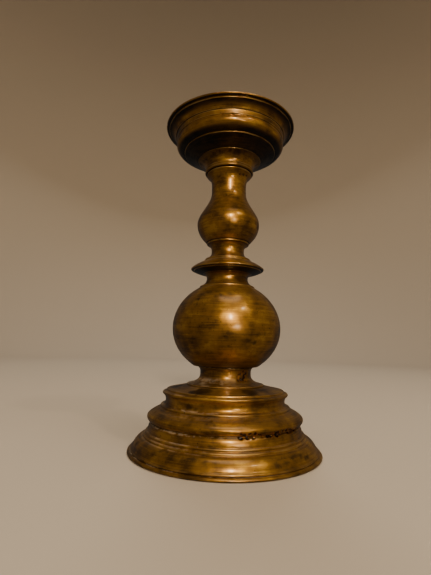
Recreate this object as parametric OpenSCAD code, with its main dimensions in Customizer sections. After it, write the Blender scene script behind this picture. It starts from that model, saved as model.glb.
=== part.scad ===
// Turned brass pricket candlestick: a stack of hollow turned sections on an iron tie rod.
// Millimetres, +Z up, origin in the middle of the face that the foot rests on.

/* [Foot] */
// Diameter of the rim that the foot rests on
base_d = 150; // [146:1:152]
// Diameter of the half-round moulding above the flared rim
torus_d = 122.2; // [120:0.2:123]
// Diameter of the nose round the deck
deck_d = 99.6; // [98:0.2:102]
// Height of the foot up to the seat of the neck
foot_h = 50.1; // [49.7:0.1:51]
// Thickness of the foot's metal
foot_wall = 3.4; // [3.2:0.1:4]

/* [Stem] */
// Diameter of the thin disc under the neck
neck_disc_d = 62; // [60:0.2:66]
// Diameter of the ball across its middle
ball_d = 88.2; // [84:0.2:92]
// Diameter of the thin ring between the ball and the vase
ring_d = 61.2; // [60:0.2:66]
// Diameter of the vase at its belly
vase_d = 52.8; // [50:0.2:58]
// Height of the vase
vase_h = 61.2; // [61:0.1:64]
// Thickness of the metal of the ball and the vase
stem_wall = 3.6; // [3:0.1:4.5]

/* [Pan] */
// Diameter over the lip of the drip pan
pan_d = 112; // [110:0.2:116]
// Diameter of the bowl under the pan
bowl_d = 93.4; // [92:0.2:95]
// Thickness of the metal of the bowl and the dish
pan_wall = 3; // [2.4:0.1:3.4]

/* [Pricket] */
// Diameter of the straight part of the spike
spike_d = 7; // [5:0.5:9]
// Length of the straight part of the spike
spike_straight = 16; // [10:1:20]
// Length of the tapered point
spike_point = 24; // [16:1:30]

/* [Fastening] */
// Diameter of the tie rod
rod_d = 10; // [8:0.5:11]
// Side of the square nut under the foot
nut_side = 18; // [16:1:22]
// Thickness of the square nut
nut_h = 8; // [6:0.5:9]

/* [Hidden] */
$fn = 96;

brass = "#7a5a1e";
iron = "#3a3733";

base_r = base_d / 2;
torus_r = torus_d / 2;
deck_r = deck_d / 2;
disc_r = neck_disc_d / 2;
ball_r = ball_d / 2;
ring_r = ring_d / 2;
vase_r = vase_d / 2;
pan_r = pan_d / 2;
bowl_r = bowl_d / 2;
rod_r = rod_d / 2;

// Every stem section stands in the one below it: a spigot under it, a socket in its top
fit = 0.05;
spigot_r = 9;
spigot_h = 4;
socket_r = spigot_r + fit;
socket_h = spigot_h + 0.4;
bore_r = rod_r + 0.4;

// Heights of the stacked sections
neck_h = 14.1;
ball_h = 63.9;
scotia_h = 12.1;
ring_h = 10.2;
waist_h = 16.9;
collar_h = 12.3;
bowl_h = 20.9;
dish_h = 8.5;

neck_z = foot_h;
ball_z = neck_z + neck_h;
scotia_z = ball_z + ball_h;
ring_z = scotia_z + scotia_h;
waist_z = ring_z + ring_h;
vase_z = waist_z + waist_h;
collar_z = vase_z + vase_h;
bowl_z = collar_z + collar_h;
dish_z = bowl_z + bowl_h;

// Radii of the stem at its narrow places
neck_r = 20.5;
scotia_r = 17.2;
waist_r = 13.7;
vase_neck_r = 14.8;

// Thickness of the foot's deck and of the bowl's floor, where the rod clamps them
deck_t = 4.4;
floor_t = 4.5;

// The dish has a skirt that drops into a rebate in the bowl's mouth
skirt_h = 2.5;
skirt_r = bowl_r - 1.5;
mouth_r = bowl_r - pan_wall;

// Fastenings
foot_washer_r = 22;
foot_washer_t = 2.5;
washer_r = 13;
washer_t = 2;
rod_tail = 5;
boss_r = 8;
boss_h = 12;
boss_hole_h = 9;

deck_under_z = foot_h - deck_t;
nut_z = deck_under_z - foot_washer_t - nut_h;
washer_z = bowl_z + floor_t;
pricket_z = washer_z + washer_t;

// Points of an oval moulding about centre c, from angle a to angle b in degrees from +r towards +z
function oval(c, radii, a, b, n = 8) =
    [for (i = [0:n]) let (t = a + (b - a) * i / n) c + [radii[0] * cos(t), radii[1] * sin(t)]];

// Points of a smooth curve that leaves p towards q and comes to s from r
function sweep(p, q, r, s, n = 10) =
    [for (i = [0:n]) let (t = i / n, u = 1 - t)
        u * u * u * p + 3 * u * u * t * q + 3 * u * t * t * r + t * t * t * s];

// Outline of a stem section of height h: its outer face from bottom to top, then its
// socket, its bore for the tie rod and its spigot
function section(face, h) = concat(face,
    [[socket_r, h], [socket_r, h - socket_h], [bore_r, h - socket_h],
     [bore_r, -spigot_h], [spigot_r, -spigot_h], [spigot_r, 0]]);

module turned(outline, z = 0) {
    translate([0, 0, z]) rotate_extrude() polygon(outline);
}

// Outer face of the foot, from the resting rim to the neck's seat
foot_face = concat(
    // Rim bead and the reed above it
    oval([base_r - 1.7, 1.2], [1.7, 1.2], -90, 70),
    oval([base_r - 3.5, 3.55], [1.4, 1.0], -65, 65, 6),
    // Flare
    sweep([base_r - 3.7, 5.2], [base_r - 5.0, 8.6], [base_r - 7.2, 11.2], [base_r - 10.6, 12.1]),
    // Two small steps
    [[base_r - 11.5, 12.3], [base_r - 11.3, 12.8], [base_r - 11.5, 13.5], [base_r - 13.3, 14.1],
     [base_r - 13.0, 14.7], [base_r - 13.1, 15.7], [base_r - 14.7, 16.2]],
    // Ovolo up to the groove
    sweep([base_r - 14.8, 16.3], [base_r - 14.9, 19.0], [base_r - 15.6, 21.6],
          [base_r - 17.6, 22.4], 8),
    // Half-round with a sloping shoulder
    oval([torus_r - 3.6, 26.2], [3.6, 3.3], -82, 0, 7),
    sweep([torus_r, 26.6], [torus_r, 28.4], [torus_r - 3.9, 30.6], [torus_r - 9.4, 33.1]),
    // Fillet and cavetto under the deck
    [[torus_r - 10.0, 33.3], [torus_r - 9.9, 33.8], [torus_r - 10.0, 34.8]],
    sweep([deck_r - 1.4, 35.5], [deck_r - 2.9, 37.2], [deck_r - 2.9, 39.8],
          [deck_r - 1.5, 42.2], 8),
    [[deck_r - 1.1, 42.3], [deck_r - 0.9, 42.8]],
    // Nose of the deck
    oval([deck_r - 0.9, 44.0], [0.9, 1.0], -75, 80, 6),
    // Deck, with a small step inside the nose, rising to the neck's seat
    [[deck_r - 2.6, foot_h - 4.4], [deck_r - 2.9, foot_h - 4.3], [deck_r - 3.2, foot_h - 3.3],
     [disc_r, foot_h - 0.1], [disc_r - 0.6, foot_h]]);

// Inner face of the foot, from the deck's underside down to the rim
foot_hollow = [
    [deck_r - 5.9 - foot_wall, deck_under_z],
    [base_r - 15 - foot_wall, 18.5],
    [base_r - 3 - foot_wall, 0]];

neck_face = concat(
    // Thin disc on the deck
    [[disc_r - 0.2, 0], [disc_r, 0.2], [disc_r, 0.7], [disc_r - 0.5, 1.0], [disc_r - 3.9, 1.8]],
    // Long cove, then the fillet under the ball
    sweep([disc_r - 4.2, 1.9], [neck_r + 2.1, 3.2], [neck_r, 5.0], [neck_r, 8.4]),
    sweep([neck_r, 8.8], [neck_r, 10.8], [neck_r + 0.1, 12.0], [neck_r + 0.7, 12.9], 6),
    [[neck_r + 1.1, 13.0], [neck_r + 1.3, 13.4], [neck_r + 1.1, 13.9], [neck_r + 0.8, neck_h]]);

// The ball's two halves are ovals of different heights on one equator
ball_mid_z = 30.8;
ball_low = 37.4;
ball_high = 38.9;
ball_face = concat(
    [[23.0, 0]],
    oval([0, ball_mid_z], [ball_r, ball_low], -54, 0, 16),
    oval([0, ball_mid_z], [ball_r, ball_high], 3, 58.3, 18));

scotia_face = concat(
    [[22.6, 0], [22.9, 0.3], [22.9, 1.2], [22.4, 1.5]],
    sweep([22.0, 1.7], [scotia_r + 2, 2.8], [scotia_r, 5.2], [scotia_r, 8.1]),
    sweep([scotia_r, 8.4], [scotia_r, 10.0], [scotia_r + 1, 11.3], [20.6, scotia_h], 8));

ring_face = concat(
    [[20.8, 0]],
    sweep([21.0, 0.1], [23.4, 0.5], [25.8, 1.3], [ring_r - 2.9, 2.1], 5),
    // Knife edge with a small arris under it
    [[ring_r - 2.4, 2.3], [ring_r - 2.3, 2.8], [ring_r - 0.6, 3.1], [ring_r - 0.1, 3.5],
     [ring_r, 3.9], [ring_r - 0.2, 4.3]],
    sweep([ring_r - 0.5, 4.5], [ring_r - 3.0, 6.8], [ring_r - 6.2, 8.4],
          [20.9, ring_h - 0.1], 8),
    [[20.7, ring_h]]);

waist_face = concat(
    [[20.0, 0], [20.2, 0.3], [20.1, 0.9], [19.2, 1.3], [19.1, 2.2], [18.3, 2.6]],
    sweep([17.8, 2.8], [waist_r + 1.1, 4.4], [waist_r, 6.2], [waist_r, 9.0]),
    sweep([waist_r, 9.4], [waist_r, 12.2], [waist_r + 1.1, 13.9], [16.8, 15.0], 8),
    [[17.6, 15.2], [17.9, 15.6], [17.9, 16.3], [17.5, 16.7], [17.3, waist_h]]);

vase_belly_z = 15.6;
vase_face = concat(
    [[18.2, 0]],
    sweep([18.6, 0.2], [22.2, 3.4], [vase_r, 8.6], [vase_r, vase_belly_z], 12),
    sweep([vase_r, vase_belly_z + 0.4], [vase_r, 24.4], [vase_neck_r, 33.5],
          [vase_neck_r, 44.5], 16),
    sweep([vase_neck_r, 50.2], [vase_neck_r, 54.8], [16.2, 58.0], [18.9, vase_h - 1.4], 8),
    [[19.3, vase_h - 1.2], [19.5, vase_h - 0.7], [19.3, vase_h - 0.2], [18.9, vase_h]]);

collar_face = concat(
    [[18.7, 0], [19.1, 0.4]],
    // Bead and its fillet
    oval([19.4, 1.5], [1.6, 1.1], -75, 75, 8),
    [[20.1, 2.7], [20.2, 3.4], [20.6, 3.7], [20.6, 4.1]],
    // Flare under the bowl
    sweep([20.2, 4.4], [20.4, 7.4], [22.6, 10.4], [26.6, 11.8]),
    [[27.1, 11.9], [27.2, 12.1], [27.0, collar_h]]);

bowl_edge_r = bowl_r - 7.3;
bowl_face = concat(
    [[26.6, 0]],
    // Shallow underside out to the sharp lower edge
    sweep([26.8, 0.2], [30.6, 2.2], [34.6, 4.4], [bowl_edge_r - 0.4, 6.2], 8),
    [[bowl_edge_r, 6.4], [bowl_edge_r + 0.1, 6.7], [bowl_edge_r - 0.2, 7.1]],
    // Bulge, shallow groove and the plain band under the dish
    sweep([bowl_edge_r, 7.4], [bowl_r - 2.8, 8.2], [bowl_r, 10.8], [bowl_r, 13.6], 10),
    sweep([bowl_r, 13.9], [bowl_r, 15.2], [bowl_r - 0.3, 16.0], [bowl_r - 0.8, 16.6], 5),
    [[bowl_r - 0.7, 17.0], [bowl_r - 0.2, 17.3], [bowl_r + 0.4, bowl_h]]);

// Inside of the bowl, from the rebate at its mouth down to the floor
bowl_hollow = [
    [skirt_r + fit, bowl_h],
    [skirt_r + fit, bowl_h - skirt_h - 0.2],
    [mouth_r, bowl_h - skirt_h - 0.2],
    [mouth_r, 14],
    [mouth_r - 1.8, 11.4],
    [bowl_edge_r - 3.2, 9.2],
    [washer_r + 4, floor_t],
    [bore_r, floor_t],
    [bore_r, -spigot_h],
    [spigot_r, -spigot_h],
    [spigot_r, 0]];

dish_outline = concat(
    // Underside, from the seat on the bowl out to the rim band
    [[bowl_r + 0.4, 0]],
    sweep([bowl_r + 1.0, 0.2], [bowl_r + 1.8, 2.2], [bowl_r + 3.6, 4.0],
          [pan_r - 3.1, 5.1], 8),
    // Rim: sharp lower edge, cove and rounded lip
    [[pan_r - 2.6, 5.2], [pan_r - 2.4, 5.5], [pan_r - 2.6, 5.9]],
    sweep([pan_r - 2.7, 6.1], [pan_r - 2.7, 6.7], [pan_r - 1.6, 6.5], [pan_r - 0.7, 6.7], 4),
    oval([pan_r - 0.9, 7.6], [0.9, 0.9], -60, 90, 8),
    // Inner face, down to the end of the skirt
    [[pan_r - 2.4, 8.4]],
    sweep([pan_r - 3.0, 8.1], [pan_r - 6.4, 7.3], [mouth_r + 1.6, 4.4], [mouth_r, 0], 8),
    [[mouth_r, -skirt_h], [skirt_r, -skirt_h], [skirt_r, 0]]);

module foot() {
    color(brass) turned(concat(foot_face,
        [[socket_r, foot_h], [socket_r, deck_under_z]], foot_hollow));
}

module neck_spool() {
    color(brass) turned(section(neck_face, neck_h), neck_z);
}

// The oval without its top and bottom, hollow between the two seats
module ball_knop() {
    color(brass) difference() {
        turned(section(ball_face, ball_h), ball_z);
        turned(concat(
            [[0, 5], [18, 5]],
            oval([0, ball_mid_z], [ball_r - stem_wall, ball_low - stem_wall], -50, 0, 12),
            oval([0, ball_mid_z], [ball_r - stem_wall, ball_high - stem_wall], 4, 54, 12),
            [[17, ball_h - 6], [0, ball_h - 6]]), ball_z);
    }
}

module scotia_spool() {
    color(brass) turned(section(scotia_face, scotia_h), scotia_z);
}

module knife_ring() {
    color(brass) turned(section(ring_face, ring_h), ring_z);
}

module waist_spool() {
    color(brass) turned(section(waist_face, waist_h), waist_z);
}

// Hollow from its foot to its neck
module vase() {
    inner_r = vase_r - stem_wall;
    inner_neck_r = vase_neck_r - stem_wall;
    color(brass) difference() {
        turned(section(vase_face, vase_h), vase_z);
        turned(concat(
            [[0, 5], [17, 5]],
            sweep([inner_r - 2, 8], [inner_r, 11], [inner_r, 13], [inner_r, vase_belly_z], 5),
            sweep([inner_r, vase_belly_z + 1], [inner_r, 25], [inner_neck_r, 33.5],
                  [inner_neck_r, 45.5], 12),
            [[inner_neck_r, vase_h - 8], [0, vase_h - 8]]), vase_z);
    }
}

module pan_collar() {
    color(brass) turned(section(collar_face, collar_h), collar_z);
}

module pan_bowl() {
    color(brass) turned(concat(bowl_face, bowl_hollow), bowl_z);
}

module drip_dish() {
    color(brass) turned(dish_outline, dish_z);
}

module pricket_washer() {
    color(brass) turned([
        [bore_r, 0], [washer_r, 0], [washer_r, washer_t * 0.6], [washer_r - 1.5, washer_t],
        [bore_r, washer_t]], washer_z);
}

// Spike on a turned boss that screws down on the rod like a cap nut
module pricket() {
    spike_r = spike_d / 2;
    shank_top = boss_h + spike_straight;
    color(iron) difference() {
        turned(concat(
            [[0, 0], [boss_r, 0], [boss_r, boss_h - 4]],
            sweep([boss_r - 0.8, boss_h - 3.6], [boss_r - 2.4, boss_h - 2.8],
                  [spike_r + 0.8, boss_h - 1.6], [spike_r, boss_h], 6),
            [[spike_r, shank_top], [spike_r * 0.55, shank_top + spike_point * 0.55],
             [0.4, shank_top + spike_point], [0, shank_top + spike_point]]), pricket_z);
        translate([0, 0, pricket_z - 1]) cylinder(r = rod_r + fit, h = boss_hole_h + 1);
    }
}

module tie_rod() {
    rod_z = nut_z - rod_tail;
    color(iron) translate([0, 0, rod_z]) cylinder(r = rod_r, h = pricket_z + boss_hole_h - rod_z);
}

module foot_washer() {
    color(iron) turned([
        [bore_r, 0], [foot_washer_r, 0], [foot_washer_r, foot_washer_t],
        [bore_r, foot_washer_t]], deck_under_z - foot_washer_t);
}

module foot_nut() {
    color(iron) translate([0, 0, nut_z]) difference() {
        translate([-nut_side / 2, -nut_side / 2, 0]) cube([nut_side, nut_side, nut_h]);
        translate([0, 0, -1]) cylinder(r = rod_r + fit, h = nut_h + 2);
    }
}

foot();
neck_spool();
ball_knop();
scotia_spool();
knife_ring();
waist_spool();
vase();
pan_collar();
pan_bowl();
drip_dish();
pricket_washer();
pricket();
tie_rod();
foot_washer();
foot_nut();
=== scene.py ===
"""Looks of a turned brass pricket candlestick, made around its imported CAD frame.

Each turned piece is spun again from its CAD node's own outline, with round stretches made smooth,
arrises worn by a hair, and the dings, pits and flaws of an old casting pressed into the mesh.
"""
import math

import bpy
import numpy as np
from mathutils import Matrix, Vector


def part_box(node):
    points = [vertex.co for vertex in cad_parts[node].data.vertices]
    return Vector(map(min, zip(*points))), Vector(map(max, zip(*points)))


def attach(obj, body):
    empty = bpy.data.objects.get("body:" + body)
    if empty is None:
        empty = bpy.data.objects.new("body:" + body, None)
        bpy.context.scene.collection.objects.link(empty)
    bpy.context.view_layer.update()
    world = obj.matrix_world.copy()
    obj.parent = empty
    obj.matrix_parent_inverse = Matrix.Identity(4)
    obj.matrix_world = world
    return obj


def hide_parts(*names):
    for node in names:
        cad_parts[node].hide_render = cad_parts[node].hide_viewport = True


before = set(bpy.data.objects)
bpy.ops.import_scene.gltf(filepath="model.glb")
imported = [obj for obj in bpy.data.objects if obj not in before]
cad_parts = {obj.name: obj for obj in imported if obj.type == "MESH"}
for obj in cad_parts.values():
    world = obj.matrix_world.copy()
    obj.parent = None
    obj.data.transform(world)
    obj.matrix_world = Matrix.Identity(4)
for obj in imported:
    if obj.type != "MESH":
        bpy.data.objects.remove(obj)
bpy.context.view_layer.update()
MM = 0.001
TINY = 1e-6
FRONT = math.radians(-90)

TURNED = ["foot", "neck_spool", "ball_knop", "scotia_spool", "knife_ring", "waist_spool", "vase",
          "pan_collar", "pan_bowl", "drip_dish", "pricket_washer"]
IRON_TURNED = ["pricket", "foot_washer"]


# ---------------------------------------------------------------- camera

CAMERA_PLACE = (0.0, -0.3159, 0.0819)
CAMERA_PITCH = math.radians(8.51)
CAMERA_YAW = math.radians(-1.76)
CAMERA_ROLL = math.radians(1.35)
LENS_MM = 23.79


def make_camera():
    """Close and low, looking a little up at the stem."""
    pitch, yaw, roll = CAMERA_PITCH, CAMERA_YAW, CAMERA_ROLL
    forward = np.array([math.sin(yaw) * math.cos(pitch), math.cos(yaw) * math.cos(pitch),
                        math.sin(pitch)])
    level = np.array([math.cos(yaw), -math.sin(yaw), 0.0])
    upright = np.cross(level, forward)
    right = math.cos(roll) * level + math.sin(roll) * upright
    up = math.cos(roll) * upright - math.sin(roll) * level
    data = bpy.data.cameras.new("camera")
    data.lens = LENS_MM
    data.sensor_width = 36
    data.clip_start = 0.01
    camera = bpy.data.objects.new("camera", data)
    bpy.context.scene.collection.objects.link(camera)
    turn = Matrix([[right[i], up[i], -forward[i]] for i in range(3)]).to_4x4()
    camera.matrix_world = Matrix.Translation(CAMERA_PLACE) @ turn
    bpy.context.scene.camera = camera


# ---------------------------------------------------------------- outlines

GRID = 5e-6
SAME_HEIGHT = 1e-5


def seam_graph(mesh):
    """The points (r, z) of a turned mesh's seam, and for each one the set of those it is linked to.

    The seam lies in the plane y = 0. Points within GRID of each other are one."""
    co = np.zeros(len(mesh.vertices) * 3)
    mesh.vertices.foreach_get("co", co)
    co = co.reshape(-1, 3)
    on_seam = (np.abs(co[:, 1]) < TINY) & (co[:, 0] > -TINY / 10)
    keys = {}
    place = {}
    for i in np.nonzero(on_seam)[0]:
        key = (round(float(co[i, 0]) / GRID), round(float(co[i, 2]) / GRID))
        keys.setdefault(key, len(keys))
        place[int(i)] = keys[key]
    points = np.array([[k[0] * GRID, k[1] * GRID] for k in keys])
    links = {i: set() for i in range(len(points))}
    for edge in mesh.edges:
        a, b = edge.vertices
        if a in place and b in place and place[a] != place[b]:
            links[place[a]].add(place[b])
            links[place[b]].add(place[a])
    return points, links


def close_rings(points, links):
    """Links loose ends in pairs: a flat ring has no seam edge, so its two ends lie at one height."""
    loose = [i for i in links if len(links[i]) < 2 and points[i, 0] > TINY]
    while len(loose) > 1:
        a = loose.pop(0)
        b = min(loose, key=lambda j: (abs(points[j, 1] - points[a, 1]) > SAME_HEIGHT,
                                      abs(points[j, 0] - points[a, 0])))
        links[a].add(b)
        links[b].add(a)
        loose.remove(b)


def outline(node):
    """The half-section of a turned CAD node: an ordered array of (r, z), and whether it is closed."""
    points, links = seam_graph(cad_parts[node].data)
    close_rings(points, links)
    start = int(np.argmax(points[:, 0]))
    ends = [i for i in links if len(links[i]) == 1]
    closed = not ends or start not in reach(links, ends[0])
    if not closed:
        start = min(ends, key=lambda i: points[i, 1])
    order = [start]
    step = min(links[start], key=lambda j: points[j, 1])
    while step is not None and step not in order:
        order.append(step)
        onward = [j for j in links[step] if j not in order]
        step = onward[0] if onward else None
    line = points[order]
    if closed and signed_area(line) < 0:
        line = line[::-1]
    return line, closed


def reach(links, start):
    """Every point that can be reached from start along the links."""
    found = {start}
    queue = [start]
    while queue:
        for j in links[queue.pop()]:
            if j not in found:
                found.add(j)
                queue.append(j)
    return found


def signed_area(line):
    """Area inside a closed outline, positive where it runs anticlockwise."""
    after = np.roll(line, -1, 0)
    return float(np.sum(line[:, 0] * after[:, 1] - after[:, 0] * line[:, 1])) / 2


# A corner stays sharp where the outline turns more than this, or less between two long edges
CORNER = math.radians(31)
LONG_EDGE = 4.5 * MM
LONG_EDGE_CORNER = math.radians(9)
ARRIS = 0.2 * MM
ARRIS_SHARE = 0.3
SAME_POINT = 0.02 * MM


def find_corners(unit, length, closed):
    """For each point of an outline, whether it is a corner, and if not, its tangent's direction."""
    spans = len(unit)
    corner = []
    tangent = []
    for i in range(spans if closed else spans + 1):
        if not closed and i in (0, spans):
            corner.append(True)
            tangent.append(None)
            continue
        before, after = unit[i - 1], unit[i % spans]
        turn = math.acos(max(-1.0, min(1.0, float(before @ after))))
        both_long = min(length[i - 1], length[i % spans]) > LONG_EDGE
        corner.append(turn > CORNER or both_long and turn > LONG_EDGE_CORNER)
        mixed = before * length[i % spans] + after * length[i - 1]
        tangent.append(mixed / (np.linalg.norm(mixed) + 1e-12))
    return corner, tangent


def hermite(a, ta, b, tb, t):
    """The point at t on the curve from a to b with tangents ta and tb."""
    return ((2 * t ** 3 - 3 * t ** 2 + 1) * a + (t ** 3 - 2 * t ** 2 + t) * ta
            + (3 * t ** 2 - 2 * t ** 3) * b + (t ** 3 - t ** 2) * tb)


def smooth_outline(line, closed, hidden, fine, coarse):
    """Resamples an outline: round stretches become curves, and each true corner a small worn arris.

    hidden(mid) says that a stretch is out of sight, so it stays straight, with the coarse step."""
    n = len(line)
    spans = n if closed else n - 1
    chord = [line[(i + 1) % n] - line[i] for i in range(spans)]
    length = [float(np.linalg.norm(c)) for c in chord]
    unit = [c / l for c, l in zip(chord, length)]
    corner, tangent = find_corners(unit, length, closed)
    out = []
    for i in range(spans):
        j = (i + 1) % n
        a, b = line[i], line[j]
        size = length[i]
        arris = min(ARRIS, size * ARRIS_SHARE)
        cut_a = arris if corner[i] and (closed or i > 0) else 0.0
        cut_b = arris if corner[j] and (closed or j < n - 1) else 0.0
        unseen = hidden((a + b) / 2)
        ta = unit[i] * size
        tb = unit[i] * size
        if not (corner[i] or unseen):
            ta = tangent[i] * min(size, 2 * length[i - 1])
        if not (corner[j] or unseen):
            tb = tangent[j] * min(size, 2 * length[j % spans])
        pieces = max(1, math.ceil(size / (coarse if unseen else fine)))
        if not (corner[i] and corner[j]):
            pieces = max(2, pieces)
        t0, t1 = cut_a / size, 1 - cut_b / size
        for k in range(pieces + 1):
            p = hermite(a, ta, b, tb, t0 + (t1 - t0) * k / pieces)
            if not out or np.linalg.norm(p - out[-1]) > SAME_POINT:
                out.append(p)
    if closed and np.linalg.norm(out[0] - out[-1]) < SAME_POINT:
        out.pop()
    return np.array(out)


def outward_normals(line, closed):
    """Unit normals of an outline that runs with the solid on its left."""
    if closed:
        run = np.roll(line, -1, 0) - np.roll(line, 1, 0)
    else:
        run = np.gradient(line, axis=0)
    run /= np.linalg.norm(run, axis=1, keepdims=True) + 1e-12
    return np.stack([run[:, 1], -run[:, 0]], 1)


RAYS = 22
RAY_START = 0.12 * MM
RAY_REACH = 70 * MM


def openness(points, normals, walls):
    """How much of the open air each outline point sees, from 0 to 1, in the half-section."""
    a = walls[:, 0]
    d = walls[:, 1] - walls[:, 0]
    seen = np.zeros(len(points))
    total = 0.0
    for k in range(RAYS):
        angle = math.pi * ((k + 0.5) / RAYS - 0.5)
        weight = math.cos(angle)
        c, s = math.cos(angle), math.sin(angle)
        way = np.stack([normals[:, 0] * c - normals[:, 1] * s,
                        normals[:, 0] * s + normals[:, 1] * c], 1)
        start = points + normals * RAY_START
        cross = way[:, None, 0] * d[None, :, 1] - way[:, None, 1] * d[None, :, 0]
        gap = a[None] - start[:, None]
        with np.errstate(divide="ignore", invalid="ignore"):
            t = (gap[..., 0] * d[None, :, 1] - gap[..., 1] * d[None, :, 0]) / cross
            u = (gap[..., 0] * way[:, None, 1] - gap[..., 1] * way[:, None, 0]) / cross
        blocked = ((t > TINY) & (t < RAY_REACH) & (u >= 0) & (u <= 1)).any(1)
        seen += weight * ~blocked
        total += weight
    return seen / total


# ---------------------------------------------------------------- wear of the surface

rng = np.random.default_rng(11)


def waves(points, seed, wavelengths, amount):
    """Slow unevenness of a hand-finished surface, within +-amount."""
    draw = np.random.default_rng(seed)
    total = np.zeros(len(points))
    for wavelength in wavelengths:
        way = draw.normal(size=3)
        way /= np.linalg.norm(way)
        total += np.sin(points @ way * 2 * math.pi / wavelength + draw.uniform(0, 6.283))
    return total * amount / len(wavelengths)


def around(degrees, r, z):
    """A point at an angle to the right of the front, at radius r and height z."""
    angle = FRONT + math.radians(degrees)
    return [r * math.cos(angle), r * math.sin(angle), z]


def press(points, marks, flat=1.0):
    """Depth pressed in at each point by marks of (centre, radius, depth), each flattened in z."""
    depth = np.zeros(len(points))
    for centre, radius, deep in marks:
        near = np.linalg.norm((points - np.array(centre)) * (1, 1, flat), axis=1) / radius
        depth = np.maximum(depth, deep * np.clip(1 - near ** 2, 0, 1) ** 1.5)
    return depth


def dings(count, low, high, radius_at, sizes, depths):
    """Shallow dings scattered round a piece between two heights, with sizes in millimetres."""
    marks = []
    for _ in range(count):
        z = rng.uniform(low, high)
        r = radius_at(z)
        marks.append((around(rng.uniform(0, 360), r, z), rng.uniform(*sizes) * MM,
                      rng.uniform(*depths) * MM))
    return marks


def radius_of(line):
    """Largest radius of an outline at a height."""
    def at(z):
        after = np.roll(line, -1, 0)
        low = np.minimum(line[:, 1], after[:, 1])
        high = np.maximum(line[:, 1], after[:, 1])
        hit = (low <= z) & (high >= z) & (high > low)
        t = (z - line[hit, 1]) / (after[hit, 1] - line[hit, 1])
        return float(np.max(line[hit, 0] + t * (after[hit, 0] - line[hit, 0])))
    return at


# ---------------------------------------------------------------- spinning

EDGE_BLEND = 0.12


def angles(count, dense=None):
    """Angles round the axis. dense is (middle, width, factor): a stretch with closer steps."""
    steps = np.linspace(0, 2 * math.pi, 3600, endpoint=False)
    weight = np.ones(len(steps))
    if dense:
        middle, width, factor = dense
        off = np.abs((steps - middle + math.pi) % (2 * math.pi) - math.pi)
        weight += (factor - 1) * np.clip((width / 2 - off) / EDGE_BLEND + 0.5, 0, 1)
    total = np.cumsum(weight)
    return np.interp(np.arange(count) / count * total[-1], total, steps)


WAVELENGTHS = (0.014, 0.019, 0.027, 0.035, 0.05)
DEEPEST_PIT = 0.5 * MM
STAIN_AND_SHADE_FLATNESS = 1.9


def spin(name, line, closed, extras, turns, marks=(), stains_and_shade=(), dusty=None, uneven=0.03, seed=1,
         hold=None):
    """A mesh spun from an outline, with its wear pressed in and its attributes stored.

    dusty has a value for each row, and dust lies thickest to the left. hold is 0 on rows that no
    wear may move."""
    normals = outward_normals(line, closed)
    rows, cols = len(line), len(turns)
    cos, sin = np.cos(turns), np.sin(turns)
    r, z = line[:, 0], line[:, 1]
    co = np.stack([r[:, None] * cos, r[:, None] * sin,
                   np.repeat(z[:, None], cols, 1)], -1).reshape(-1, 3)
    nor = np.stack([normals[:, :1] * cos, normals[:, :1] * sin,
                    np.repeat(normals[:, 1:], cols, 1)], -1).reshape(-1, 3)
    free = np.repeat(np.ones(rows) if hold is None else hold, cols)
    depth = press(co, marks) if len(marks) else np.zeros(len(co))
    wave = waves(co, seed, WAVELENGTHS, uneven * MM)
    co = co + nor * ((wave - depth) * free)[:, None]
    index = np.arange(rows * cols).reshape(rows, cols)
    span = rows if closed else rows - 1
    low = index[:span]
    high = np.roll(index, -1, 0)[:span]
    faces = np.stack([low, np.roll(low, -1, 1), np.roll(high, -1, 1), high], -1).reshape(-1, 4)
    mesh = bpy.data.meshes.new(name)
    polygons = faces.tolist()
    if not closed:
        polygons += [index[0][::-1].tolist(), index[-1].tolist()]
    mesh.from_pydata(co.tolist(), [], polygons)
    mesh.shade_smooth()
    travel = np.concatenate([[0], np.cumsum(np.linalg.norm(np.diff(line, axis=0), axis=1))])
    store(mesh, "lathe", np.stack([np.tile(cos, rows), np.tile(sin, rows),
                                   np.repeat(travel, cols)], -1))
    for key, values in extras.items():
        store(mesh, key, np.repeat(values, cols))
    leftward = np.clip(0.5 - 0.5 * cos, 0.2, 1)
    store(mesh, "dusty", np.repeat(dusty, cols) * np.tile(leftward, rows))
    store(mesh, "pit", np.clip(depth / DEEPEST_PIT, 0, 1))
    store(mesh, "stain_and_shade", press(co, stains_and_shade, STAIN_AND_SHADE_FLATNESS))
    piece = bpy.data.objects.new(name, mesh)
    bpy.context.scene.collection.objects.link(piece)
    return piece


def store(mesh, key, values):
    """Stores a number or a vector for each vertex."""
    kind = "FLOAT_VECTOR" if values.ndim == 2 else "FLOAT"
    field = "vector" if values.ndim == 2 else "value"
    attribute = mesh.attributes.new(key, kind, "POINT")
    attribute.data.foreach_set(field, values.astype(np.float32).ravel())


# ---------------------------------------------------------------- materials

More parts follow.
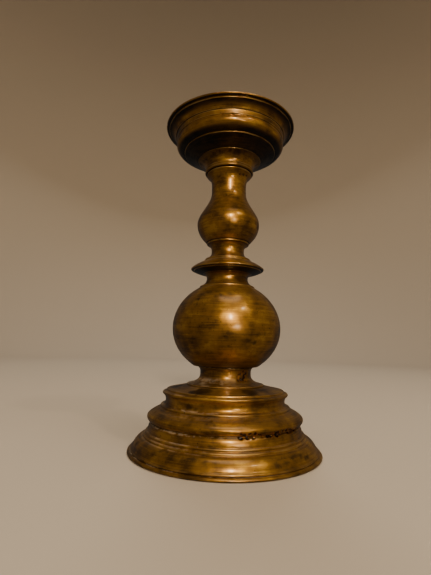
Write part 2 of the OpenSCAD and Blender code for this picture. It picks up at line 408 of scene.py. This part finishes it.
class Graph:
    """A short way to write a material's nodes."""

    def __init__(self, name):
        self.material = bpy.data.materials.new(name)
        self.material.use_nodes = True
        self.nodes = self.material.node_tree.nodes
        self.links = self.material.node_tree.links
        self.shader = self.nodes["Principled BSDF"]

    def put(self, socket, value):
        if isinstance(value, bpy.types.NodeSocket):
            self.links.new(value, socket)
        elif isinstance(value, tuple) and len(value) == 3 and socket.type == "RGBA":
            socket.default_value = (*value, 1)
        else:
            socket.default_value = value

    def field(self, name, vector=False):
        node = self.nodes.new("ShaderNodeAttribute")
        node.attribute_name = name
        return node.outputs["Vector" if vector else "Fac"]

    def math(self, kind, a, b=0.0, clamp=False):
        node = self.nodes.new("ShaderNodeMath")
        node.operation = kind
        node.use_clamp = clamp
        self.put(node.inputs[0], a)
        self.put(node.inputs[1], b)
        return node.outputs[0]

    def place(self, scale, vector=None):
        node = self.nodes.new("ShaderNodeMapping")
        node.inputs["Scale"].default_value = scale
        if vector is None:
            vector = self.nodes.new("ShaderNodeTexCoord").outputs["Object"]
        self.links.new(vector, node.inputs["Vector"])
        return node.outputs[0]

    def noise(self, scale, vector=None, detail=4.0, rough=0.55, stretch=(1, 1, 1), distort=0.0):
        node = self.nodes.new("ShaderNodeTexNoise")
        node.inputs["Scale"].default_value = scale
        node.inputs["Detail"].default_value = detail
        node.inputs["Roughness"].default_value = rough
        node.inputs["Distortion"].default_value = distort
        self.links.new(self.place(stretch, vector), node.inputs["Vector"])
        return node.outputs["Fac"]

    def ramp(self, value, low, high, out_low=0.0, out_high=1.0):
        """Smooth step of value from low to high."""
        node = self.nodes.new("ShaderNodeMapRange")
        node.interpolation_type = "SMOOTHSTEP"
        self.put(node.inputs["Value"], value)
        node.inputs["From Min"].default_value = low
        node.inputs["From Max"].default_value = high
        node.inputs["To Min"].default_value = out_low
        node.inputs["To Max"].default_value = out_high
        return node.outputs["Result"]

    def mix(self, amount, a, b):
        node = self.nodes.new("ShaderNodeMix")
        node.data_type = "RGBA"
        self.put(node.inputs[0], amount)
        self.put(node.inputs[6], a)
        self.put(node.inputs[7], b)
        return node.outputs[2]

    def blend(self, amount, a, b):
        node = self.nodes.new("ShaderNodeMix")
        self.put(node.inputs[0], amount)
        self.put(node.inputs[2], a)
        self.put(node.inputs[3], b)
        return node.outputs[0]

    def normal_z(self):
        geometry = self.nodes.new("ShaderNodeNewGeometry")
        split = self.nodes.new("ShaderNodeSeparateXYZ")
        self.links.new(geometry.outputs["Normal"], split.inputs[0])
        return split.outputs[2]

    def bump(self, height, distance, strength=1.0, normal=None):
        node = self.nodes.new("ShaderNodeBump")
        node.inputs["Strength"].default_value = strength
        node.inputs["Distance"].default_value = distance
        self.put(node.inputs["Height"], height)
        if normal is not None:
            self.links.new(normal, node.inputs["Normal"])
        return node.outputs["Normal"]


# Colours of the metal, its patina and painted shade, and what lies on it
YELLOW = (0.47, 0.250, 0.030)
GOLD = (0.285, 0.136, 0.015)
BROWN = (0.110, 0.052, 0.008)
WORN = (0.46, 0.28, 0.085)
DARK = (0.012, 0.0065, 0.0015)
COPPER = (0.30, 0.105, 0.010)
BLACK = (0.003, 0.0018, 0.001)
DUST = (0.44, 0.38, 0.29)
IRON_DARK = (0.035, 0.031, 0.028)
IRON_GREY = (0.09, 0.082, 0.075)
RUST = (0.11, 0.045, 0.018)


def aged_brass():
    """Waxed old brass: mottled golden brown, lathe streaks, recesses dark with patina and painted
    shade, painted shade underneath, bright arrises.
    """
    g = Graph("aged_brass")
    lathe = g.field("lathe", vector=True)
    open_air = g.field("open")
    arris = g.field("arris")
    pit = g.field("pit")
    nz = g.normal_z()
    mottle = g.noise(78, detail=6, rough=0.62)
    cloud = g.noise(21, detail=3, stretch=(1, 1, 2.2))
    streak = g.noise(1, lathe, detail=5, rough=0.65, stretch=(2.4, 2.4, 1100))
    band = g.noise(1, lathe, detail=3, rough=0.5, stretch=(1.3, 1.3, 300))
    speck = g.noise(420, detail=3, rough=0.6)

    # Its tone varies in mottles and clouds, and in the lathe's fine and broad rings
    tone = g.math("ADD", g.math("MULTIPLY", mottle, 0.44), g.math("MULTIPLY", cloud, 0.14))
    tone = g.math("ADD", tone, g.math("MULTIPLY", streak, 0.24))
    tone = g.math("ADD", tone, g.math("MULTIPLY", band, 0.18))
    metal = g.mix(g.ramp(tone, 0.415, 0.52), BROWN, GOLD)
    metal = g.mix(g.ramp(tone, 0.515, 0.60), metal, YELLOW)

    # Patina gathers where rubbing doesn't reach: in recesses and in pits. Painted shade darkens
    # recesses and undersides too
    # Darker in recesses: patina, and painted shade
    hollow_patina_and_shade = g.ramp(open_air, 0.14, 0.68, 1.0, 0.0)
    # Painted shade on surfaces facing down, weighted for each piece
    painted_underside_shade = g.math("MULTIPLY", g.ramp(nz, -0.98, -0.50, 1.0, 0.0), g.field("underside_shade"))
    cover = g.math("ADD", g.math("MULTIPLY", hollow_patina_and_shade, 0.60), g.math("MULTIPLY", painted_underside_shade, 0.72))
    # More painted shade in the recesses of the pieces under the pan
    painted_shade_in_hollows = g.math("MULTIPLY", hollow_patina_and_shade, g.field("underside_shade"))
    cover = g.math("ADD", cover, g.math("MULTIPLY", painted_shade_in_hollows, 0.3))
    cover = g.math("ADD", cover, g.math("MULTIPLY", g.math("SUBTRACT", mottle, 0.5), 0.7))
    cover = g.math("ADD", cover, g.math("MULTIPLY", g.math("SUBTRACT", streak, 0.5), 0.5))
    patina_and_shade = g.ramp(cover, 0.12, 0.78)
    cast = g.noise(1, lathe, detail=6, rough=0.68, stretch=(4.2, 4.2, 150), distort=0.4)
    blotch = g.ramp(cast, 0.58, 0.70)
    patina_and_shade = g.math("MAXIMUM", patina_and_shade, g.math("MULTIPLY", blotch, 0.5))
    # Dark stains, and the painted shadow on the pan's collar, with ragged edges
    ragged = g.math("MULTIPLY", g.math("SUBTRACT", g.noise(170, detail=6, rough=0.7), 0.5), 1.6)
    ragged = g.math("MULTIPLY", ragged, g.ramp(g.field("stain_and_shade"), 0.0, 0.25))
    stain_and_shade = g.ramp(g.math("ADD", g.field("stain_and_shade"), ragged), 0.12, 0.75)
    patina_and_shade = g.math("MAXIMUM", patina_and_shade, g.math("MULTIPLY", stain_and_shade, 0.78))
    fleck = g.ramp(speck, 0.64, 0.72)
    patina_and_shade = g.math("MAXIMUM", patina_and_shade, g.math("MULTIPLY", fleck, 0.6))
    # Patina, stains and painted shade darken the metal
    colour = g.mix(patina_and_shade, metal, DARK)
    colour = g.mix(g.math("MULTIPLY", g.ramp(pit, 0.06, 0.35), 0.7), colour, COPPER)
    colour = g.mix(g.math("MULTIPLY", g.ramp(pit, 0.4, 0.8), 0.94), colour, BLACK)

    # Arrises and the tops of mouldings are rubbed bright
    touched = g.ramp(g.noise(60, detail=3), 0.34, 0.62)
    rubbed = g.math("MULTIPLY", g.ramp(arris, 0.25, 0.85), touched)
    rubbed = g.math("MULTIPLY", rubbed, g.ramp(pit, 0.0, 0.4, 1.0, 0.0))
    colour = g.mix(g.math("MULTIPLY", rubbed, 0.75), colour, WORN)

    # Pale dust and dried polish lie on ledges and in the corners over them
    ledge = g.math("MULTIPLY", g.ramp(nz, 0.15, 0.7), g.field("dusty"))
    ledge = g.math("MULTIPLY", ledge, g.ramp(open_air, 0.55, 0.88, 1.0, 0.0))
    ledge = g.math("MULTIPLY", ledge, g.ramp(pit, 0.0, 0.1, 1.0, 0.0))
    ledge = g.math("MULTIPLY", ledge, g.ramp(stain_and_shade, 0.0, 0.5, 1.0, 0.0))
    drift = g.noise(1, lathe, detail=3, stretch=(2.5, 2.5, 90))
    grain = g.math("ADD", g.math("MULTIPLY", g.noise(330, detail=6, rough=0.75), 0.55),
                   g.math("MULTIPLY", drift, 0.45))
    dust = g.math("MULTIPLY", ledge, g.ramp(grain, 0.46, 0.54))
    colour = g.mix(g.math("MULTIPLY", dust, 0.62), colour, DUST)

    rough = g.blend(patina_and_shade, 0.36, 0.55)
    rough = g.math("ADD", rough, g.math("MULTIPLY", g.math("SUBTRACT", mottle, 0.5), 0.2))
    rough = g.math("ADD", rough, g.math("MULTIPLY", dust, 0.4), clamp=True)
    metallic = g.math("SUBTRACT", 0.78, g.math("MULTIPLY", dust, 0.7), clamp=True)

    lines = g.noise(1, lathe, detail=4, rough=0.7, stretch=(1.5, 1.5, 2600))
    skin = g.bump(lines, 0.06 * MM, 0.35)
    skin = g.bump(mottle, 0.4 * MM, 0.25, skin)
    skin = g.bump(speck, 0.08 * MM, 0.4, skin)

    shader = g.shader
    shader.inputs["Coat Weight"].default_value = 0.45
    shader.inputs["Coat Roughness"].default_value = 0.16
    shader.inputs["Coat IOR"].default_value = 1.45
    g.put(shader.inputs["Base Color"], colour)
    g.put(shader.inputs["Metallic"], metallic)
    g.put(shader.inputs["Roughness"], rough)
    g.put(shader.inputs["Normal"], skin)
    return g.material


def dark_iron():
    """Wrought iron, dark, with a little rust and a hammered skin."""
    g = Graph("dark_iron")
    rust = g.ramp(g.noise(130, detail=6, rough=0.7), 0.5, 0.68)
    scale = g.noise(60, detail=5, rough=0.6)
    colour = g.mix(g.ramp(scale, 0.35, 0.65), IRON_DARK, IRON_GREY)
    colour = g.mix(g.math("MULTIPLY", rust, 0.6), colour, RUST)
    g.put(g.shader.inputs["Base Color"], colour)
    g.put(g.shader.inputs["Metallic"], g.blend(rust, 0.9, 0.3))
    g.put(g.shader.inputs["Roughness"], g.blend(rust, 0.42, 0.8))
    skin = g.bump(scale, 0.6 * MM, 0.5)
    g.put(g.shader.inputs["Normal"], g.bump(g.noise(700, detail=3), 0.1 * MM, 0.5, skin))
    return g.material


# ---------------------------------------------------------------- the turned pieces

make_camera()
BRASS = aged_brass()
IRON = dark_iron()

lines = {node: outline(node) for node in TURNED + IRON_TURNED}
walls = []
for line, closed in lines.values():
    after = np.roll(line, -1, 0)
    pairs = np.stack([line, after], 1)
    walls.append(pairs if closed else pairs[:-1])
walls = np.concatenate(walls)

ball_low, ball_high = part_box("ball_knop")
vase_low, vase_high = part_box("vase")
ring_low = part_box("knife_ring")[0]
dish_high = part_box("drip_dish")[1]

foot_at = radius_of(lines["foot"][0])
ball_at = radius_of(lines["ball_knop"][0])
vase_at = radius_of(lines["vase"][0])
neck_at = radius_of(lines["neck_spool"][0])
bowl_at = radius_of(lines["pan_bowl"][0])
dish_at = radius_of(lines["drip_dish"][0])
ring_at = radius_of(lines["knife_ring"][0])


def flaw(count, degrees, heights, radius_at, sizes, depths):
    """A cluster of casting pits between two angles and two heights, in degrees and millimetres."""
    marks = []
    for _ in range(count):
        z = rng.uniform(*heights) * MM
        marks.append((around(rng.uniform(*degrees), radius_at(z), z), rng.uniform(*sizes) * MM,
                      rng.uniform(*depths) * MM))
    return marks


# Pits and dings pressed into each piece
MARKS = {
    "foot": flaw(56, (9, 60), (21.8, 25.2), foot_at, (0.9, 2.2), (0.3, 1.1))
    + flaw(14, (-70, -20), (20, 24), foot_at, (0.5, 1.0), (0.15, 0.35))
    + flaw(10, (150, 260), (21, 25), foot_at, (0.6, 1.6), (0.2, 0.6))
    + dings(60, 2 * MM, 46 * MM, foot_at, (0.8, 2.4), (0.02, 0.08)),
    "neck_spool": flaw(22, (27, 52), (54.2, 61.8), neck_at, (1.0, 2.3), (0.15, 0.5))
    + flaw(9, (29, 48), (55.0, 61.0), neck_at, (0.9, 1.8), (0.6, 0.9)),
    "ball_knop": dings(40, ball_low.z + 12 * MM, ball_high.z - 8 * MM, ball_at, (1.0, 3.0),
                       (0.01, 0.05)),
    "knife_ring": dings(14, ring_low.z + 6.5 * MM, ring_low.z + 8 * MM, ring_at, (0.8, 1.6),
                        (0.1, 0.3)),
    "vase": flaw(7, (33, 60), (222.5, 225.5), vase_at, (0.5, 1.2), (0.12, 0.3))
    + dings(22, vase_low.z + 12 * MM, vase_high.z - 6 * MM, vase_at, (0.8, 2.2), (0.01, 0.05)),
    "pan_bowl": flaw(20, (-8, 34), (255.6, 258.4), bowl_at, (0.5, 1.5), (0.15, 0.4))
    + dings(14, 249 * MM, 260 * MM, bowl_at, (0.8, 2.0), (0.02, 0.06)),
    "drip_dish": [(around(6, 53.6 * MM, 267.1 * MM), 1.2 * MM, 0.7 * MM)]
    + dings(16, dish_high.z - 2 * MM, dish_high.z - 0.3 * MM, dish_at, (0.8, 1.8), (0.08, 0.3)),
}


def stain_and_shade(degrees, r, z, radius, strength):
    """A dark mark round a point of the surface: a stain, and round the pan's collar a painted shadow
    of the bowl.
    """
    return (around(degrees, r * MM, z * MM), radius * MM, strength)


def smudges(count, degrees, heights, radius_at, sizes, strengths):
    """Dark stains scattered between two angles and two heights."""
    marks = []
    for _ in range(count):
        z = rng.uniform(*heights) * MM
        marks.append((around(rng.uniform(*degrees), radius_at(z), z), rng.uniform(*sizes) * MM,
                      rng.uniform(*strengths)))
    return marks


DECK_Z = 48.4

# Dark stains on each piece, mapped from the front, and scattered behind, and a ring of painted shadow
# under the pan's bowl
STAINS_AND_SHADE = {
    "foot": [stain_and_shade(-24, 38.5, DECK_Z, 9.5, 1.0), stain_and_shade(27, 38.5, DECK_Z, 10, 1.0)]
    + [stain_and_shade(k * 47 + rng.uniform(-12, 12), rng.uniform(34, 46), DECK_Z, rng.uniform(5, 10),
             rng.uniform(0.5, 0.9)) for k in range(1, 8)]
    + smudges(9, (-28, -3), (22.4, 25.5), foot_at, (4.0, 7.0), (0.4, 0.65))
    + smudges(14, (-44, -8), (8.8, 11.2), foot_at, (3.0, 7.0), (0.35, 0.6))
    + smudges(9, (28, 56), (6.0, 10.0), foot_at, (2.5, 6.0), (0.35, 0.6))
    + smudges(7, (-42, -18), (36, 41), foot_at, (3.0, 7.0), (0.4, 0.7))
    + smudges(10, (10, 60), (22, 25), foot_at, (3.0, 6.0), (0.35, 0.6))
    + smudges(44, (64, 300), (5, 42), foot_at, (3.0, 8.0), (0.35, 0.6)),
    "ball_knop": [stain_and_shade(28, 42, 83.8, 5.5, 0.75), stain_and_shade(23, 42.4, 85.0, 4.0, 0.6),
                  stain_and_shade(35, 43, 90, 9, 0.4), stain_and_shade(-20, 42, 83.3, 3.0, 0.45),
                  stain_and_shade(-1, 43.3, 87.8, 3.0, 0.45)]
    + smudges(9, (-55, 60), (110, 122), ball_at, (4, 8), (0.25, 0.5))
    + smudges(18, (70, 290), (78, 122), ball_at, (2.5, 7), (0.3, 0.8)),
    "vase": [stain_and_shade(35, 16.2, 224.0, 2.4, 1.0), stain_and_shade(48, 16.5, 224.6, 2.8, 0.9),
             stain_and_shade(60, 16.6, 225.0, 2.2, 0.9), stain_and_shade(38, 26.1, 180, 5.5, 0.6)]
    + smudges(12, (70, 290), (172, 226), vase_at, (2, 6), (0.3, 0.8)),
    "neck_spool": [stain_and_shade(46, 20.8, 58, 4, 0.45)],
    # A ring of painted shadow cast by the bowl on the pan collar's flare
    "pan_collar": [stain_and_shade(k * 15, 24.0, 239.2, 7.5, 0.55) for k in range(24)],
}

# The foot has closer steps across its row of pits
FLAW_MIDDLE = FRONT + math.radians(37) + 2 * math.pi
TURNS = {"foot": angles(384, (FLAW_MIDDLE, math.radians(64), 2.6))}
USUAL_TURNS = angles(320)
SMALL_TURNS = angles(96)

# How much dust settles on each piece, how strong the painted shade on its undersides is, and the
# length of its steps along the outline
DUSTY = {"foot": 1.0, "neck_spool": 0.8, "knife_ring": 0.8, "drip_dish": 1.0}
USUAL_DUST = 0.3
DECK_DUST = 0.25
DECK_EDGE_Z = 45.2 * MM
# Painted shade on surfaces facing down, strongest on the pan and the pieces under it
UNDERSIDE_SHADE = {"pan_bowl": 1.0, "drip_dish": 1.0, "knife_ring": 0.7, "pan_collar": 0.6}
USUAL_UNDERSIDE_SHADE = 0.25
FINE_MM = {"foot": 0.62, "ball_knop": 0.8, "vase": 0.7}
USUAL_FINE_MM = 0.5
COARSE_MM = 2.5

# How far turned brass and forged iron stray from true, and where the outlines are out of sight
BRASS_UNEVEN_MM = 0.03
IRON_UNEVEN_MM = 0.08
BORE_R = 10.5 * MM
DARKEST_SEEN = 0.01
DARKEST_WORN = 0.02


def arrises(line, air):
    """How sharply each point of an outline juts out, from 0 to 1, where it can be rubbed."""
    run = np.roll(line, -1, 0) - line
    heading = np.unwrap(np.arctan2(run[:, 1], run[:, 0]))
    length = np.linalg.norm(run, axis=1)
    spacing_mm = 0.5 * (length + np.roll(length, 1)) * 1000
    bend = (heading - np.roll(heading, 1)) / np.maximum(spacing_mm, 0.05)
    bend[0] = 0
    sharp = np.clip((bend - 0.25) / 1.6, 0, 1) * (air > 0.3)
    return np.maximum(sharp, np.maximum(np.roll(sharp, 1), np.roll(sharp, -1)) * 0.6)


def turned_look(number, node):
    """The visual piece of a turned node, in the node's place."""
    line, closed = lines[node]
    is_brass = node in TURNED

    def out_of_sight(middle):
        here = openness(middle[None], np.array([[1.0, 0.0]]), walls)
        return middle[0] < BORE_R and node != "pricket" or here[0] < DARKEST_SEEN

    fine = smooth_outline(line, closed, out_of_sight, FINE_MM.get(node, USUAL_FINE_MM) * MM,
                          COARSE_MM * MM)
    air = openness(fine, outward_normals(fine, closed), walls)
    extras = {"open": air, "arris": arrises(fine, air),
              # Weight of the painted shade on surfaces facing down
              "underside_shade": np.full(len(fine), UNDERSIDE_SHADE.get(node, USUAL_UNDERSIDE_SHADE))}
    dusty = np.full(len(fine), DUSTY.get(node, USUAL_DUST))
    if node == "foot":
        dusty[fine[:, 1] > DECK_EDGE_Z] = DECK_DUST
    turns = TURNS.get(node, USUAL_TURNS)
    if node in IRON_TURNED or node == "pricket_washer":
        turns = SMALL_TURNS
    piece = spin("look_" + node, fine, closed, extras, turns, MARKS.get(node, ()),
                 STAINS_AND_SHADE.get(node, ()), dusty, BRASS_UNEVEN_MM if is_brass else IRON_UNEVEN_MM,
                 number, (air > DARKEST_WORN).astype(float))
    piece.data.materials.append(BRASS if is_brass else IRON)
    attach(piece, "root")
    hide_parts(node)


for number, node in enumerate(TURNED + IRON_TURNED):
    turned_look(number, node)

# The rod and the nut are plain enough to be shown as they are in the CAD
for node in ("tie_rod", "foot_nut"):
    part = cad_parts[node]
    part.data.materials.clear()
    part.data.materials.append(IRON)


# ---------------------------------------------------------------- stage and light

def plain(name, colour, rough):
    """A plain paint."""
    g = Graph(name)
    g.put(g.shader.inputs["Base Color"], colour)
    g.put(g.shader.inputs["Roughness"], rough)
    return g.material


STAGE_PAINT = (0.50, 0.43, 0.34)


def make_stage():
    """A pale floor that curves up into a wall all round. The metal doesn't mirror it."""
    floor_r, cove_r, wall_h = 1.7, 0.9, 4.4
    cove_steps = 24
    section = [(floor_r, 0.0)]
    for k in range(1, cove_steps + 1):
        t = math.pi / 2 * k / cove_steps
        section.append((floor_r + cove_r * math.sin(t), cove_r * (1 - math.cos(t))))
    section.append((floor_r + cove_r, wall_h))
    cols = 128
    co = [(0, 0, 0)]
    faces = []
    for r, z in section:
        for k in range(cols):
            t = 2 * math.pi * k / cols
            co.append((r * math.cos(t), r * math.sin(t), z))
    for k in range(cols):
        faces.append((0, 1 + k, 1 + (k + 1) % cols))
    for i in range(len(section) - 1):
        for k in range(cols):
            a, b = 1 + i * cols + k, 1 + i * cols + (k + 1) % cols
            faces.append((a, a + cols, b + cols, b))
    mesh = bpy.data.meshes.new("stage")
    mesh.from_pydata(co, [], faces)
    mesh.shade_smooth()
    stage = bpy.data.objects.new("stage", mesh)
    bpy.context.scene.collection.objects.link(stage)
    stage.data.materials.append(plain("stage_paint", STAGE_PAINT, 0.9))
    stage.visible_glossy = False


def lamp(name, place, aim, size, watts, colour, spread=180):
    """A round or oval area lamp, with its beam's spread in degrees."""
    data = bpy.data.lights.new(name, "AREA")
    data.shape = "ELLIPSE"
    data.size, data.size_y = size
    data.energy = watts
    data.color = colour
    data.spread = math.radians(spread)
    light = bpy.data.objects.new(name, data)
    bpy.context.scene.collection.objects.link(light)
    z = np.array(place) - np.array(aim)
    z = z / np.linalg.norm(z)
    x = np.cross([0, 0, 1], z)
    x /= np.linalg.norm(x)
    y = np.cross(z, x)
    turn = Matrix([[x[i], y[i], z[i]] for i in range(3)]).to_4x4()
    light.matrix_world = Matrix.Translation(place) @ turn
    return light


WARM = (1.0, 0.82, 0.60)
STEM_MIDDLE = (0, 0, 0.15)
FOOT_TOP = (0, 0, 0.1)


def seen_from_stem(azimuth, elevation, distance):
    """A place at an azimuth to the right of the front and an elevation from the stem's middle."""
    a, e = math.radians(azimuth), math.radians(elevation)
    return (distance * math.sin(a) * math.cos(e), -distance * math.cos(a) * math.cos(e),
            STEM_MIDDLE[2] + distance * math.sin(e))


def light_stage():
    """Small warm lamps for the highlights, and large soft ones that only light."""
    lamp("key_spot", seen_from_stem(9, 25, 2.1), STEM_MIDDLE, (0.07, 0.42), 30.0, WARM)
    lamp("side_spot", seen_from_stem(45, 45, 1.6), STEM_MIDDLE, (0.06, 0.06), 3.0, WARM)
    lamp("low_soft", seen_from_stem(21, 0.5, 2.2), STEM_MIDDLE, (0.48, 0.26), 0.85, WARM, spread=50)
    lamp("top_soft", seen_from_stem(30, 80, 1.9), STEM_MIDDLE, (1.1, 1.1), 10.0, (1.0, 0.88, 0.72))
    soft = [lamp("soft_key", (1.0, -1.0, 2.1), FOOT_TOP, (1.3, 1.3), 11.0, (1.0, 0.90, 0.78)),
            lamp("soft_back", (-0.2, 1.7, 1.9), FOOT_TOP, (1.2, 1.2), 20.0, (1.0, 0.93, 0.85))]
    for light in soft:
        light.visible_glossy = False
    world = bpy.data.worlds.new("world")
    bpy.context.scene.world = world
    world.use_nodes = True
    sky = world.node_tree.nodes["Background"]
    sky.inputs["Color"].default_value = (1.0, 0.93, 0.84, 1)
    sky.inputs["Strength"].default_value = 0.06


make_stage()
light_stage()
